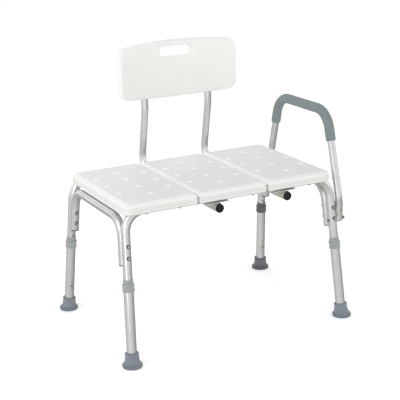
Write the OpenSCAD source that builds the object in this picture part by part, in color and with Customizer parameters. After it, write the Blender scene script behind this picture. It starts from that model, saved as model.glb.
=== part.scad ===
// Bath transfer bench: three moulded seat panels on an aluminium tube frame, four legs that
// extend, a backrest that slides out of two receivers and an armrest that lifts out of two
// sockets. Millimetres, +Z up, the user faces -Y, the armrest is on the +X side.

/* [Seat] */
// overall length of the three seat panels
seat_len = 670.6; // [660:0.1:680]
// depth of the seat, front to rear
seat_depth = 411.5; // [409:0.1:416]
// height of the seat surface above the floor, legs at their shortest
seat_height = 452.1; // [451:0.1:455]
// height of a panel from its underside to its surface
seat_thick = 31; // [30:0.5:32]
// gap between two panels
panel_gap = 3; // [2:0.5:5]
// corner radius of a panel in plan
corner_r = 24; // [20:1:30]
// width of the sloping rim around a panel's flat field
bevel_run = 12; // [8:1:16]
// height lost across the sloping rim
bevel_drop = 4.7; // [3:0.1:6]
// diameter of a drain hole
drain_d = 10; // [6:0.5:12]

/* [Frame] */
// outer diameter of the frame tubes
tube_d = 25.4; // [25:0.1:25.6]
// wall of the frame tubes
tube_wall = 1.5; // [1.2:0.1:2]
// height of the front and rear rails, tube centre
rail_z = 430; // [429.5:0.1:430.5]
// height of the side tubes, tube centre
side_z = 404.6; // [400:0.1:405]
// bend radius of the frame tubes, tube centre
bend_r = 58; // [50:1:65]
// distance along the leg where the side frame's tubes end
side_end = 282; // [270:1:290]

/* [Legs] */
// half the spacing of the feet along the bench
foot_x = 351.5; // [350:0.5:354]
// half the spacing of the feet across the bench
foot_y = 242.5; // [241:0.5:244]
// outward splay of the legs along the bench, degrees
splay_x = 2.6; // [2.4:0.1:2.8]
// outward splay of the legs across the bench, degrees
splay_y = 7; // [6.8:0.1:7.2]
// outer diameter of the lower leg tubes
leg_d = 28.6; // [28.6:0.1:29]
// distance between two adjustment holes
hole_pitch = 20; // [18:1:20]
// number of adjustment holes in a lower leg tube
hole_count = 7; // [5:1:7]
// diameter of a foot at the floor
foot_d = 57; // [50:1:60]

/* [Backrest] */
// length of the backrest panel
back_len = 406.4; // [400:0.1:412]
// height of the backrest panel
back_h = 180.3; // [176:0.1:184]
// height of the backrest's top edge above the floor
back_top = 810; // [800:1:822]
// distance of the backrest's centre from the seat's centre
back_x = 62; // [60:1:64]
// thickness of the backrest panel
back_t = 30; // [29:0.5:31]
// radius of the backrest's curve in plan
back_r = 870; // [800:10:950]
// outer diameter of the backrest tubes
back_tube_d = 22.2; // [22:0.1:22.2]

/* [Armrest] */
// distance of the armrest's tube from the seat's centre
arm_x = 364; // [363.5:0.1:364.5]
// height of the armrest tube's top, tube centre
arm_top = 617; // [610:1:625]
// inward slope of the armrest's posts, degrees
arm_slope = 15; // [13:0.5:16]
// bend radius of the armrest's two upper corners, tube centre
grip_r = 68; // [60:1:72]
// outer diameter of the armrest tube
arm_d = 22.2; // [22:0.1:22.2]
// outer diameter of the foam grip
grip_d = 30; // [28:0.5:30]

/* [Hidden] */
$fn = 64;
panel_w = (seat_len - 2 * panel_gap) / 3;
pitch = panel_w + panel_gap;
seat_z0 = seat_height - seat_thick;
ridge_z = seat_height - bevel_drop;
drain_x = 0.345 * pitch;
drain_y = 84;
rail_y = foot_y - rail_z * tan(splay_y);
groove_top = rail_z + tube_d / 2 + 0.6;
leg_a = atan(tan(splay_x) * cos(splay_y));
side_a = atan(tan(splay_y) * cos(splay_x));
side_off = tube_d + 0.3;
bolt_s = [308, 341];
leg_bore = leg_d - 2.8;
leg_top = 235;
button_s = 85;
collar_s = 214;
tray_t = 2.5;
recv_y = seat_depth / 2 + 6;
recv_z = rail_z - tube_d - tray_t;
recv_bore = back_tube_d + 0.4;
tube_x = [back_x - pitch / 2, back_x + pitch / 2];
back_button_y = 192;
post_y = 266;
bend_y = 297;
back_y0 = post_y + pitch * pitch / 8 / back_r;
back_z0 = back_top - back_h;
slot_z = back_top - 35.5;
arm_y = 201;
arm_kink = 365;
arm_end = 313;
socket_z = [294, 352];
socket_bore = arm_d + 0.4;
arm_button_z = 328;
arm_bolt_z = 299;
grip_end = 530;
screw_d = 5;
rail_screws = [-265, -165, 72, 265];
plate_dx = 28;
// the origin is on the floor under the middle of the bench's whole footprint
origin_y = (bend_y + back_tube_d / 2 - foot_y - foot_d / 2) / 2;

// ---- tubes that run through flat paths with round bends ----
// a bend is a hair thicker than the straights and laps over their ends, so that they join
lap = 0.4;
hair = 0.1;
function unit(v) = v / norm(v);
function turn(a, v, b) = acos(max(-1, min(1, unit(v - a) * unit(b - v))));
function tangent(a, v, b, r) = r * tan(turn(a, v, b) / 2);
function cut_back(p, i, r) =
    (i == 0 || i == len(p) - 1) ? 0 : tangent(p[i - 1], p[i], p[i + 1], r[i]) - lap;
function longer(p, e) =
    [for (i = [0:len(p) - 1])
        i == 0 ? p[0] + e * unit(p[0] - p[1]) :
        i == len(p) - 1 ? p[i] + e * unit(p[i] - p[i - 1]) : p[i]];

module rod(a, b, d)
    translate([a[0], a[1], 0]) rotate([0, 0, atan2(b[1] - a[1], b[0] - a[0])])
        rotate([0, 90, 0]) cylinder(h = norm(b - a), d = d);

module elbow(a, v, b, r, d) {
    t = turn(a, v, b);
    n = unit(unit(a - v) + unit(b - v));
    c = v + n * r / cos(t / 2);
    left = (v[0] - a[0]) * (b[1] - v[1]) - (v[1] - a[1]) * (b[0] - v[0]) > 0;
    q = left ? v + tangent(a, v, b, r) * unit(a - v) : v + tangent(a, v, b, r) * unit(b - v);
    e = 1.3 * lap / r * 57.3;
    translate([c[0], c[1], 0]) rotate([0, 0, atan2(q[1] - c[1], q[0] - c[0]) - e])
        rotate_extrude(angle = t + 2 * e) translate([r, 0]) circle(d = d + hair);
}

module pipe(p, r, d) {
    for (i = [0:len(p) - 2]) {
        u = unit(p[i + 1] - p[i]);
        rod(p[i] + cut_back(p, i, r) * u, p[i + 1] - cut_back(p, i + 1, r) * u, d);
    }
    for (i = [1:1:len(p) - 2]) elbow(p[i - 1], p[i], p[i + 1], r[i], d);
}

module tube(p, r, d, wall) difference() {
    pipe(p, r, d);
    pipe(longer(p, 1), r, d - 2 * wall);
}

// ---- placing ----
module centred() translate([0, -origin_y, 0]) children();
module quarter(sx, sy) mirror([sx > 0 ? 1 : 0, 0, 0]) mirror([0, sy > 0 ? 1 : 0, 0]) children();
// along a leg: +Z up the leg from the floor, +Y towards the middle of the bench
module on_leg(sx, sy) quarter(sx, sy) translate([-foot_x, -foot_y, 0])
    rotate([-splay_y, 0, 0]) rotate([0, leg_a, 0]) children();
module corners() for (sx = [-1, 1], sy = [-1, 1]) on_leg(sx, sy) children();
module inward(s) translate([0, 0, s]) rotate([-90, 0, 0]) children();

// ---- frame ----
rail_w = rail_z / cos(splay_y);
leg_low = 72;
rail_path = [[-foot_x + leg_low * sin(leg_a), leg_low * cos(leg_a)],
             [-foot_x + rail_w * tan(leg_a), rail_w],
             [foot_x - rail_w * tan(leg_a), rail_w],
             [foot_x - leg_low * sin(leg_a), leg_low * cos(leg_a)]];
side_w = side_z / cos(splay_x);
side_half = foot_y - side_off / cos(splay_y);
side_path = [[-side_half + side_end * sin(side_a), side_end * cos(side_a)],
             [-side_half + side_w * tan(side_a), side_w],
             [side_half - side_w * tan(side_a), side_w],
             [side_half - side_end * sin(side_a), side_end * cos(side_a)]];
bends = [0, bend_r, bend_r, 0];

module rail(sy) difference() {
    mirror([0, sy > 0 ? 1 : 0, 0]) translate([0, -foot_y, 0]) rotate([90 - splay_y, 0, 0])
        tube(rail_path, bends, tube_d, tube_wall);
    for (sx = [-1, 1]) on_leg(sx, sy) {
        for (s = bolt_s) inward(s) cylinder(h = 60, d = 6.4, center = true);
        inward(button_s) cylinder(h = 20, d = 7.4);
        inward(256) cylinder(h = 20, d = 4.1);
    }
    screw_spots(sy) translate([0, 0, rail_z - 30]) cylinder(h = 60, d = screw_d + 0.3);
    on_leg(1, sy) translate([-30, 0, arm_bolt_s]) rotate([0, 90, 0]) cylinder(h = 60, d = 5.4);
}

module side_frame(sx) difference() {
    mirror([sx > 0 ? 1 : 0, 0, 0]) translate([-foot_x, 0, 0]) rotate([0, splay_x, 0])
        rotate([90, 0, 90]) tube(side_path, bends, tube_d, tube_wall);
    for (sy = [-1, 1]) on_leg(sx, sy)
        for (s = bolt_s) inward(s) cylinder(h = 120, d = 6.4, center = true);
}

module front_rail() color([0.78, 0.79, 0.8]) rail(-1);
module rear_rail() color([0.78, 0.79, 0.8]) rail(1);
module left_side_frame() color([0.78, 0.79, 0.8]) side_frame(-1);
module right_side_frame() color([0.78, 0.79, 0.8]) side_frame(1);

// a cap on the end of each side-frame tube, with a plug inside the tube
module side_frame_plugs() color([0.05, 0.05, 0.05]) corners()
    translate([0, side_off, side_end + side_off * tan(splay_y) * cos(leg_a) - 0.1]) {
        translate([0, 0, -2.6]) cylinder(h = 2.6, d = tube_d);
        cylinder(h = 12, d = tube_d - 2 * tube_wall - 0.6);
    }

module frame_bolts() color([0.55, 0.55, 0.56]) corners() for (s = bolt_s) inward(s) {
    translate([0, 0, -tube_d / 2 - 4]) difference() {
        cylinder(h = 4, d = 11.5);
        translate([0, 0, -1]) cylinder(h = 3.6, d = 4.6, $fn = 6);
    }
    translate([0, 0, -tube_d / 2]) cylinder(h = tube_d + side_off + 7.5, d = 6);
}

module frame_nuts() color([0.55, 0.55, 0.56]) corners() for (s = bolt_s)
    inward(s) translate([0, 0, side_off + tube_d / 2 + 0.1]) difference() {
        union() {
            cylinder(h = 1.2, d = 13);
            translate([0, 0, 1.2]) cylinder(h = 4.8, d = 11, $fn = 6);
        }
        translate([0, 0, -1]) cylinder(h = 12, d = 6.1);
    }

// a rivet in the upper leg above each collar, which stops the collar there
module stop_rivets() color([0.72, 0.5, 0.2]) corners() inward(256) {
    translate([0, 0, tube_d / 2 - 3]) cylinder(h = 3.2, d = 4);
    translate([0, 0, tube_d / 2 + 0.1]) cylinder(h = 1.6, d1 = 8, d2 = 6);
    translate([0, 0, tube_d / 2 - 3]) cylinder(h = 1, d = 6);
}

// a bent strip of spring steel: two leaves joined by a round bottom, button leaf on +Z
module clip(gap, leaf) {
    for (s = [-1, 1]) translate([-3, -0.1, s * gap / 2 - 0.4]) cube([6, leaf, 0.8]);
    translate([3, 0, 0]) rotate([0, -90, 0]) difference() {
        cylinder(h = 6, d = gap + 0.8);
        translate([0, 0, -1]) cylinder(h = 9, d = gap - 0.8);
        translate([-gap, 0, -1]) cube([2 * gap, gap, 9]);
    }
}
clip_gap = tube_d - 2 * tube_wall - 2;
module leg_clips() color([0.6, 0.6, 0.62]) corners()
    translate([0, 0, button_s + 26]) rotate([-90, 0, 0]) clip(clip_gap, 36);

// ---- seat ----
module plan(w, d, r) {
    square([w - 2 * r, d], center = true);
    square([w, d - 2 * r], center = true);
    for (x = [-1, 1], y = [-1, 1]) translate([x * (w / 2 - r), y * (d / 2 - r)]) circle(r = r);
}

module wedge(w, l) rotate([90, 0, 0]) linear_extrude(height = l, center = true)
    polygon([[-w / 2, 0], [w / 2, 0], [w / 2 - bevel_run, bevel_drop],
             [-w / 2 + bevel_run, bevel_drop]]);

module panel_outside(w, d) {
    translate([0, 0, seat_z0]) linear_extrude(height = ridge_z - seat_z0) plan(w, d, corner_r);
    translate([0, 0, ridge_z]) {
        wedge(w, d - 2 * corner_r);
        rotate([0, 0, 90]) wedge(d, w - 2 * corner_r);
        for (x = [-1, 1], y = [-1, 1])
            translate([x * (w / 2 - corner_r), y * (d / 2 - corner_r), 0])
                cylinder(h = bevel_drop, r1 = corner_r, r2 = corner_r - bevel_run);
    }
}

drains = concat([for (x = [-1, 1], y = [-1:1]) [x * drain_x, y * drain_y]],
                [for (y = [-1.5:1:1.5]) [0, y * drain_y]]);

// hollow moulding with a channel under each end for the rails; i is -1, 0 or 1
module seat_panel(i) color([0.93, 0.93, 0.9]) difference() {
    translate([i * pitch, 0, 0]) difference() {
        panel_outside(panel_w, seat_depth);
        difference() {
            translate([-panel_w / 2 + 3, -rail_y + 17, seat_z0 + 3])
                cube([panel_w - 6, 2 * rail_y - 34, ridge_z - seat_z0 - 3.5]);
            for (p = drains) translate([p[0], p[1], seat_z0]) cylinder(h = 40, d = drain_d + 6);
        }
        for (p = drains) translate([p[0], p[1], seat_z0 - 1]) cylinder(h = 40, d = drain_d);
        translate([42, 0, seat_z0 - 1]) cylinder(h = 6, d = 6);
    }
    for (s = [-1, 1]) intersection() {
        union() {
            translate([-400, s * rail_y, rail_z]) rotate([0, 90, 0])
                cylinder(h = 800, r = groove_top - rail_z);
            translate([-400, s * (rail_y + 0.3) - 13.7, seat_z0 - 1])
                cube([800, 27.4, rail_z - seat_z0 + 1]);
        }
        translate([-seat_len / 2 + 5, -300, 0]) cube([seat_len - 10, 600, 600]);
    }
    for (s = [-1, 1]) screw_spots(s) translate([0, 0, rail_z]) cylinder(h = 19.2, d = screw_d + 0.1);
}
module seat_panel_left() seat_panel(-1);
module seat_panel_middle() seat_panel(0);
module seat_panel_right() seat_panel(1);

// where screws go up through a rail into the panels
module screw_spots(sy) {
    for (x = rail_screws) translate([x, sy * rail_y, 0]) children();
    for (t = tube_x, s = [-1, 1]) translate([t + s * plate_dx, sy * rail_y, 0]) children();
}
module screw(z0, z1) {
    translate([0, 0, z0]) cylinder(h = z1 - z0, d = screw_d);
    translate([0, 0, z0 - 1.3]) difference() {
        cylinder(h = 1.3, d = 9.5);
        for (a = [0, 90]) rotate([0, 0, a]) translate([-2.5, -0.5, -1]) cube([5, 1, 1.8]);
    }
}
module seat_screws() color([0.7, 0.7, 0.72]) for (sy = [-1, 1]) {
    for (x = rail_screws) translate([x, sy * rail_y, 0]) screw(rail_z - tube_d / 2 - 0.1, 449);
    for (t = tube_x, s = [-1, 1]) translate([t + s * plate_dx, sy * rail_y, 0])
        screw(rail_z - tube_d / 2 - tray_t - 0.1, 449);
}

// ---- receivers for the backrest tubes ----
module receiver(x) color([0.74, 0.75, 0.76]) difference() {
    translate([x, -recv_y, recv_z]) rotate([-90, 0, 0]) difference() {
        cylinder(h = 2 * recv_y, d = tube_d);
        translate([0, 0, -1]) cylinder(h = 2 * recv_y + 2, d = recv_bore);
    }
    for (s = [-1, 1]) translate([x, s * back_button_y, recv_z - 20]) cylinder(h = 20, d = 7.4);
}
module receiver_left() receiver(tube_x[0]);
module receiver_right() receiver(tube_x[1]);
module receiver_plugs() color([0.04, 0.04, 0.04]) for (x = tube_x)
    translate([x, -recv_y, recv_z]) rotate([90, 0, 0]) {
        translate([0, 0, 0.1]) cylinder(h = 3, d = tube_d + 0.6);
        translate([0, 0, -12]) cylinder(h = 12.2, d = recv_bore - 0.1);
        translate([-3, tube_d / 2 - 1, 0.1]) cube([6, 3.6, 3]);
    }
// flat plates between the rails and the receivers, welded to the receivers
module receiver_plates() color([0.2, 0.2, 0.21]) for (x = tube_x, s = [-1, 1]) difference() {
    translate([x - 36, s * rail_y - 13, rail_z - tube_d / 2 - tray_t]) cube([72, 26, tray_t - 0.1]);
    for (k = [-1, 1]) translate([x + k * plate_dx, s * rail_y, rail_z - 30])
        cylinder(h = 30, d = screw_d + 0.3);
}

// ---- legs ----
module leg_tube(sx, sy) color([0.78, 0.79, 0.8]) on_leg(sx, sy) difference() {
    translate([0, 0, 7]) cylinder(h = leg_top - 7, d = leg_d);
    translate([0, 0, 6]) cylinder(h = leg_top, d = leg_bore);
    for (i = [0:hole_count - 1]) inward(button_s + i * hole_pitch) cylinder(h = 20, d = 8);
}
module leg_tube_fl() leg_tube(-1, -1);
module leg_tube_fr() leg_tube(1, -1);
module leg_tube_rl() leg_tube(-1, 1);
module leg_tube_rr() leg_tube(1, 1);

module leg_collar(sx, sy) color([0.45, 0.48, 0.5]) on_leg(sx, sy) translate([0, 0, collar_s])
    difference() {
        union() {
            cylinder(h = 2, d1 = leg_d + 4, d2 = leg_d + 6);
            translate([0, 0, 2]) cylinder(h = 19, d = leg_d + 6);
            translate([0, 0, 21]) cylinder(h = 3, d1 = leg_d + 6, d2 = leg_d + 3);
            translate([0, 0, 24]) cylinder(h = 10, d = leg_d);
        }
        translate([0, 0, -1]) cylinder(h = leg_top - collar_s + 1.1, d = leg_d + 0.1);
        cylinder(h = 50, d = leg_bore);
    }
module leg_collar_fl() leg_collar(-1, -1);
module leg_collar_fr() leg_collar(1, -1);
module leg_collar_rl() leg_collar(-1, 1);
module leg_collar_rr() leg_collar(1, 1);

module foot(sx, sy) color([0.36, 0.4, 0.44]) difference() {
    union() {
        quarter(sx, sy) translate([-foot_x, -foot_y, 0]) {
            cylinder(h = 7, d = foot_d);
            translate([0, 0, 7]) cylinder(h = 6, d1 = foot_d, d2 = 42);
        }
        on_leg(sx, sy) {
            translate([0, 0, 2]) cylinder(h = 32, d1 = 42, d2 = 38);
            translate([0, 0, 34]) cylinder(h = 6, d1 = 38, d2 = 32);
        }
    }
    on_leg(sx, sy) translate([0, 0, 6.9]) cylinder(h = 60, d = leg_d + 0.1);
    translate([-500, -500, -20]) cube([1000, 1000, 20]);
}
module foot_fl() foot(-1, -1);
module foot_fr() foot(1, -1);
module foot_rl() foot(-1, 1);
module foot_rr() foot(1, 1);

// a pin that stands on the outside of its clip's leaf and ends 2 above the radius r_out
module button(r_out, d) {
    translate([0, 0, r_out - 3.65]) cylinder(h = 4.25, d = d);
    translate([0, 0, r_out + 0.6]) cylinder(h = 1.4, d1 = d, d2 = d - 2.8);
}
module leg_button(sx, sy) color([0.75, 0.52, 0.2]) on_leg(sx, sy) inward(button_s)
    button(leg_d / 2, 7);
module leg_button_fl() leg_button(-1, -1);
module leg_button_fr() leg_button(1, -1);
module leg_button_rl() leg_button(-1, 1);
module leg_button_rr() leg_button(1, 1);

// ---- armrest ----
function arm_side(s) = [[s * arm_y, arm_end], [s * arm_y, arm_kink],
    [s * (arm_y - (arm_top - arm_kink) * tan(arm_slope)), arm_top]];
arm_path = concat(arm_side(-1), [for (i = [2:-1:0]) arm_side(1)[i]]);
arm_bends = [0, 60, grip_r, grip_r, 60, 0];
function grip_start(s) = [s * (arm_y - (grip_end - arm_kink) * tan(arm_slope)), grip_end];
grip_path = [grip_start(-1), arm_side(-1)[2], arm_side(1)[2], grip_start(1)];

module armrest_tube() color([0.8, 0.81, 0.82]) difference() {
    translate([arm_x, 0, 0]) rotate([90, 0, 90]) tube(arm_path, arm_bends, arm_d, tube_wall);
    for (s = [-1, 1]) translate([arm_x, s * arm_y, arm_button_z]) rotate([-90 * s, 0, 0])
        cylinder(h = 20, d = 7.4);
}
module armrest_grip() color([0.3, 0.34, 0.35]) translate([arm_x, 0, 0]) rotate([90, 0, 90])
    difference() {
        pipe(grip_path, [0, grip_r, grip_r, 0], grip_d);
        pipe(longer(grip_path, 1), [0, grip_r, grip_r, 0], arm_d + 0.1);
    }

arm_bolt_s = arm_bolt_z / cos(leg_a) / cos(splay_y);
arm_bolt_l = 39.4;

module arm_socket(s) color([0.78, 0.79, 0.8]) difference() {
    translate([arm_x, s * arm_y, socket_z[0]]) difference() {
        cylinder(h = socket_z[1] - socket_z[0], d = tube_d);
        translate([0, 0, -1]) cylinder(h = 80, d = socket_bore);
    }
    translate([arm_x, s * arm_y, arm_button_z]) rotate([-90 * s, 0, 0]) cylinder(h = 20, d = 7.4);
    on_leg(1, s) translate([-60, 0, arm_bolt_s]) rotate([0, 90, 0]) cylinder(h = 60, d = 5.4);
}
module arm_socket_front() arm_socket(-1);
module arm_socket_rear() arm_socket(1);

// a saddle between each socket and the leg beside it
module arm_saddles() color([0.78, 0.79, 0.8]) for (s = [-1, 1]) difference() {
    on_leg(1, s) translate([-26, -8, arm_bolt_s - 8]) cube([18, 16, 16]);
    on_leg(1, s) translate([0, 0, 200]) cylinder(h = 200, d = tube_d + 0.1);
    translate([arm_x, s * arm_y, 200]) cylinder(h = 200, d = tube_d + 0.1);
    on_leg(1, s) translate([-60, 0, arm_bolt_s]) rotate([0, 90, 0]) cylinder(h = 60, d = 5.4);
}
module arm_bolts() color([0.6, 0.6, 0.62]) for (s = [-1, 1]) on_leg(1, s)
    translate([-arm_bolt_l, 0, arm_bolt_s]) rotate([0, 90, 0]) {
        difference() {
            translate([0, 0, -3]) cylinder(h = 3, d = 9);
            translate([0, 0, -4]) cylinder(h = 2.8, d = 3.6, $fn = 6);
        }
        cylinder(h = arm_bolt_l + tube_d / 2 + 5.5, d = 5);
    }
module arm_nuts() color([0.6, 0.6, 0.62]) for (s = [-1, 1]) on_leg(1, s)
    translate([tube_d / 2 + 0.1, 0, arm_bolt_s]) rotate([0, 90, 0]) difference() {
        cylinder(h = 4, d = 9.2, $fn = 6);
        translate([0, 0, -1]) cylinder(h = 9, d = 5.1);
    }

arm_gap = arm_d - 2 * tube_wall - 2;
module arm_clips() color([0.6, 0.6, 0.62]) for (s = [-1, 1])
    translate([arm_x, s * arm_y, arm_button_z + 26]) rotate([-90 * s, 0, 0])
        mirror([0, s > 0 ? 0 : 1, 0]) clip(arm_gap, 34);
module arm_button(s) color([0.75, 0.52, 0.2]) translate([arm_x, s * arm_y, arm_button_z])
    rotate([-90 * s, 0, 0]) button(tube_d / 2, 7);
module arm_button_front() arm_button(-1);
module arm_button_rear() arm_button(1);

// ---- backrest ----
lean = 11.8;
lean_r = 45;
lean_c = [bend_y - lean_r, recv_z + lean_r];
lean_q = lean_c + lean_r * [cos(lean), sin(lean)];
back_path = [[55, recv_z],
             [lean_c[0] + lean_r * tan((90 + lean) / 2), recv_z],
             [post_y, lean_q[1] + (lean_q[0] - post_y) / tan(lean)],
             [post_y, 760]];

module back_tube(x) color([0.78, 0.79, 0.8]) difference() {
    translate([x, 0, 0]) rotate([90, 0, 90])
        tube(back_path, [0, lean_r, 120, 0], back_tube_d, tube_wall);
    translate([x, back_button_y, recv_z - 20]) cylinder(h = 20, d = 7.4);
    back_spots() translate([0, 0, -10]) cylinder(h = 15, d = screw_d + 0.3);
}
module backrest_tube_left() back_tube(tube_x[0]);
module backrest_tube_right() back_tube(tube_x[1]);

// the four screws in the panel's rear face, square to the curve; +Z out of the panel
back_a = asin(pitch / 2 / back_r);
module back_spots() for (s = [-1, 1], z = [664, 732])
    translate([back_x, back_y0 - back_r, z]) rotate([0, 0, -s * back_a])
        translate([0, back_r + back_t / 2, 0]) rotate([-90, 0, 0]) children();

top_r = 1700;
low_r = 2200;
module back_outline(e) {
    h = back_len / 2 - e;
    r = 28 - e;
    zt = back_top - top_r + sqrt(pow(top_r - 28, 2) - pow(back_len / 2 - 28, 2));
    zb = back_z0 + low_r - sqrt(pow(low_r - 28, 2) - pow(back_len / 2 - 28, 2));
    x = back_len / 2 - 28;
    translate([-h, zb]) square([2 * h, zt - zb]);
    for (s = [-1, 1], z = [zb, zt]) translate([s * x, z]) circle(r = r);
    intersection() {
        translate([0, back_top - top_r]) circle(r = top_r - e, $fn = 720);
        translate([0, back_z0 + low_r]) circle(r = low_r - e, $fn = 720);
        translate([-x, back_z0 - 5]) square([2 * x, back_h + 10]);
    }
}
module back_slab(e, front, rear) intersection() {
    translate([back_x, back_y0 + 60, 0]) rotate([90, 0, 0]) linear_extrude(height = 140)
        back_outline(e);
    translate([back_x, back_y0 - back_r, back_z0 - 10]) difference() {
        cylinder(h = back_h + 20, r = back_r + rear, $fn = 360);
        translate([0, 0, -1]) cylinder(h = back_h + 22, r = back_r - front, $fn = 360);
    }
}
module slot(grow) translate([back_x, back_y0 - 60, slot_z]) rotate([-90, 0, 0]) {
    for (s = [-1, 1]) translate([s * 40.5, 0, 0]) cylinder(h = 140, r = 16.5 + grow);
    translate([-40.5, -16.5 - grow, 0]) cube([81, 33 + 2 * grow, 140]);
}
module backrest_panel() color([0.93, 0.93, 0.9]) difference() {
    union() {
        back_slab(0, back_t / 2 - 4, back_t / 2);
        back_slab(9, back_t / 2, back_t / 2);
    }
    difference() {
        back_slab(14, back_t / 2 - 3.5, back_t / 2 - 3);
        slot(4);
        for (x = tube_x) translate([x, post_y, back_z0 - 5]) cylinder(h = 140, d = 28);
    }
    slot(0);
    for (x = tube_x)
        translate([x, post_y, back_z0 - 5]) cylinder(h = 766 - back_z0, d = back_tube_d + 0.4);
    back_spots() translate([0, 0, -10]) cylinder(h = 15, d = screw_d + 0.3);
    translate([back_x, back_y0, back_z0 - 5]) cylinder(h = 25, d = 5);
}
module backrest_screws() color([0.7, 0.7, 0.72]) back_spots() {
    translate([0, 0, -7.5]) cylinder(h = 7.8, d = screw_d);
    translate([0, 0, 0.1]) difference() {
        cylinder(h = 2.6, d1 = 10, d2 = 7.5);
        for (a = [0, 90]) rotate([0, 0, a]) translate([-2.5, -0.5, 1]) cube([5, 1, 2.6]);
    }
}

back_gap = back_tube_d - 2 * tube_wall - 2;
module backrest_clips() color([0.6, 0.6, 0.62]) for (x = tube_x)
    translate([x, back_button_y - 26, recv_z]) mirror([0, 0, 1]) clip(back_gap, 34);
module back_button(x) color([0.75, 0.52, 0.2]) translate([x, back_button_y, recv_z])
    mirror([0, 0, 1]) button(tube_d / 2, 7);
module backrest_button_left() back_button(tube_x[0]);
module backrest_button_right() back_button(tube_x[1]);

centred() front_rail();
centred() rear_rail();
centred() left_side_frame();
centred() right_side_frame();
centred() side_frame_plugs();
centred() frame_bolts();
centred() frame_nuts();
centred() stop_rivets();
centred() leg_clips();
centred() seat_panel_left();
centred() seat_panel_middle();
centred() seat_panel_right();
centred() seat_screws();
centred() receiver_left();
centred() receiver_right();
centred() receiver_plugs();
centred() receiver_plates();
centred() arm_socket_front();
centred() arm_socket_rear();
centred() arm_saddles();
centred() arm_bolts();
centred() arm_nuts();
centred() leg_tube_fl();
centred() leg_tube_fr();
centred() leg_tube_rl();
centred() leg_tube_rr();
centred() leg_collar_fl();
centred() leg_collar_fr();
centred() leg_collar_rl();
centred() leg_collar_rr();
centred() foot_fl();
centred() foot_fr();
centred() foot_rl();
centred() foot_rr();
centred() leg_button_fl();
centred() leg_button_fr();
centred() leg_button_rl();
centred() leg_button_rr();
centred() armrest_tube();
centred() armrest_grip();
centred() arm_clips();
centred() arm_button_front();
centred() arm_button_rear();
centred() backrest_panel();
centred() backrest_tube_left();
centred() backrest_tube_right();
centred() backrest_screws();
centred() backrest_clips();
centred() backrest_button_left();
centred() backrest_button_right();
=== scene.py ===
import math

import bmesh
import bpy
from mathutils import Matrix, Vector


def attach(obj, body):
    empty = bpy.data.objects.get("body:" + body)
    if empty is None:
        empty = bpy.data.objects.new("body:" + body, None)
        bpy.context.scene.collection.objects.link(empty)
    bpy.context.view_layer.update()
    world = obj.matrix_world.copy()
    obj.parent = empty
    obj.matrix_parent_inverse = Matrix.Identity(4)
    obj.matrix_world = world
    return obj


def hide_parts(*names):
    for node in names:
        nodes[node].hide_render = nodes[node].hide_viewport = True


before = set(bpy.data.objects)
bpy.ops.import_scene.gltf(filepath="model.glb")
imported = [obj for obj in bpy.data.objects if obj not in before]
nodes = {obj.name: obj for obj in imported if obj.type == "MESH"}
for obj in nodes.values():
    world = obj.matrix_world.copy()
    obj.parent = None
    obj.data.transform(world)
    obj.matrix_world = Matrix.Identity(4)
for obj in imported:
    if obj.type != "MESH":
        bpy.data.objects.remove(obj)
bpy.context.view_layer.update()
scene = bpy.context.scene

MM = 0.001
OY = 18.55          # the part is drawn about the seat's middle and shifted back by this, in mm
SPLAY_X, SPLAY_Y = math.radians(2.6), math.radians(7.0)
FOOT = (351.5, 242.5)
BOLT_S = (308, 341)     # where the two frame bolts cross a leg, in mm up the leg from the floor
# the bolt heads' dark rim is painted shade
BOLT_SHADE_RING = (3.6, 4.1)  # from a bolt's line to where its bright middle ends and its dark rim starts
COLLAR_S = 214          # where a collar starts, measured up the leg like the bolts
BORE_R = 11.35          # clears the 22.2 mm tubes of the armrest and the backrest
UP = Vector((0, 0, 1))
ALONG = Vector((1, 0, 0))


# ---------------------------------------------------------------- camera
CAMERA_AT = (-1.43284, -2.77431, 1.31307)
CAMERA_TURNS = (-27.445, 17.006, -1.393)    # degrees of yaw, tilt and roll
CAMERA_LENS = 96.9


def make_camera():
    """The view of the photograph, fitted to the seat, the feet and the backrest."""
    yaw, tilt, roll = map(math.radians, CAMERA_TURNS)
    look = Vector((-math.sin(yaw) * math.cos(tilt), math.cos(yaw) * math.cos(tilt), -math.sin(tilt)))
    right = Vector((math.cos(yaw), math.sin(yaw), 0))
    up = right.cross(look)
    r2 = math.cos(roll) * right + math.sin(roll) * up
    u2 = -math.sin(roll) * right + math.cos(roll) * up
    data = bpy.data.cameras.new("camera")
    data.sensor_width = 36
    data.lens = CAMERA_LENS
    data.clip_start, data.clip_end = 0.05, 100
    cam = bpy.data.objects.new("camera", data)
    cam.matrix_world = Matrix((
        (r2.x, u2.x, -look.x, CAMERA_AT[0]),
        (r2.y, u2.y, -look.y, CAMERA_AT[1]),
        (r2.z, u2.z, -look.z, CAMERA_AT[2]),
        (0, 0, 0, 1)))
    scene.collection.objects.link(cam)
    scene.camera = cam


make_camera()


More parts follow.
